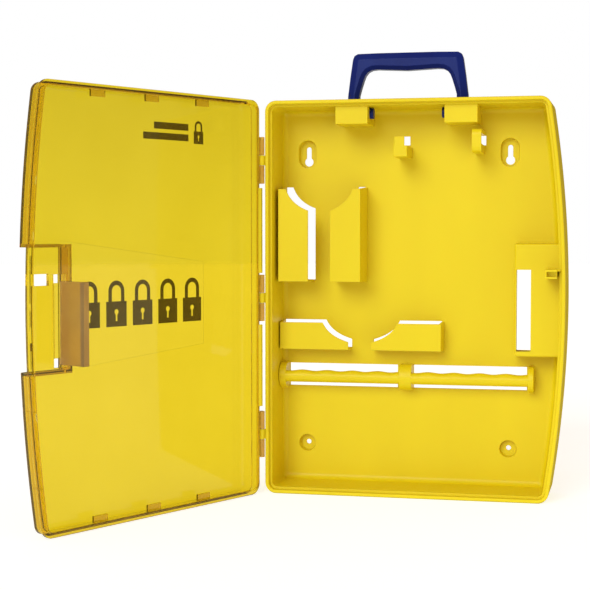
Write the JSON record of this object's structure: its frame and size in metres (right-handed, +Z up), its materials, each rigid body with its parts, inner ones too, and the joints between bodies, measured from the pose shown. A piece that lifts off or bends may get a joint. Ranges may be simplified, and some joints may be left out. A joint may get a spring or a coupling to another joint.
{
  "type": "lockout station case",
  "caption": "Open wall-mounted lockout station: yellow tray with padlock rail, pockets and hooks, clear amber hinged door, latch, and blue carry handle.",
  "frame": {"origin": "centre of the flat base that the tray stands on", "axes": "+X to the free side seen from the front, +Y into the wall that the case hangs on, +Z up"},
  "size_m": [0.4543, 0.3308, 0.442],
  "materials": {
    "yellow_plastic": "moulded opaque yellow, semi-gloss",
    "amber_clear": "clear amber, polished",
    "blue_plastic": "moulded dark blue, satin",
    "pin_steel": "plain steel pin"
  },
  "bodies": {
    "tray": {"rear_tray": "yellow_plastic", "pocket_upper_left": "yellow_plastic", "pocket_upper_right": "yellow_plastic", "pocket_lower_left": "yellow_plastic", "pocket_lower_right": "yellow_plastic", "tool_hook": "yellow_plastic", "tag_loop": "yellow_plastic", "rail_post_left": "yellow_plastic", "rail_bar_left": "yellow_plastic", "rail_post_centre": "yellow_plastic", "rail_bar_right": "yellow_plastic", "rail_post_right": "yellow_plastic", "handle_socket_left": "yellow_plastic", "handle_socket_right": "yellow_plastic", "latch_box": "yellow_plastic", "padlock_staple": "yellow_plastic", "tray_knuckle_top": "yellow_plastic", "tray_knuckle_middle": "yellow_plastic", "tray_knuckle_bottom": "yellow_plastic", "hinge_pin_top": "pin_steel", "hinge_pin_middle": "pin_steel", "hinge_pin_bottom": "pin_steel"},
    "door": {"door_cover": "amber_clear", "door_knuckle_top_upper": "amber_clear", "door_knuckle_top_lower": "amber_clear", "door_knuckle_middle_upper": "amber_clear", "door_knuckle_middle_lower": "amber_clear", "door_knuckle_bottom_upper": "amber_clear", "door_knuckle_bottom_lower": "amber_clear"},
    "latch": {"latch_blade": "amber_clear"},
    "handle": {"carry_handle": "blue_plastic"}
  },
  "joints": [
    {"name": "door_hinge", "type": "hinge", "parent": "tray", "child": "door", "pos_m": [-0.1436, -0.03275, 0.1975], "axis": [0, 0, -1], "range_deg": [-117.7, 62.3]},
    {"name": "latch_flex", "type": "hinge", "parent": "door", "child": "latch", "pos_m": [-0.27041, -0.27203, 0.1885], "axis": [0, 0, 1], "range_deg": [0, 5], "stiffness_Nm_per_rad": 2},
    {"name": "handle_pivot", "type": "hinge", "parent": "tray", "child": "handle", "pos_m": [0, -0.0055, 0.3825], "axis": [1, 0, 0], "range_deg": [-18, 18]}
  ]
}
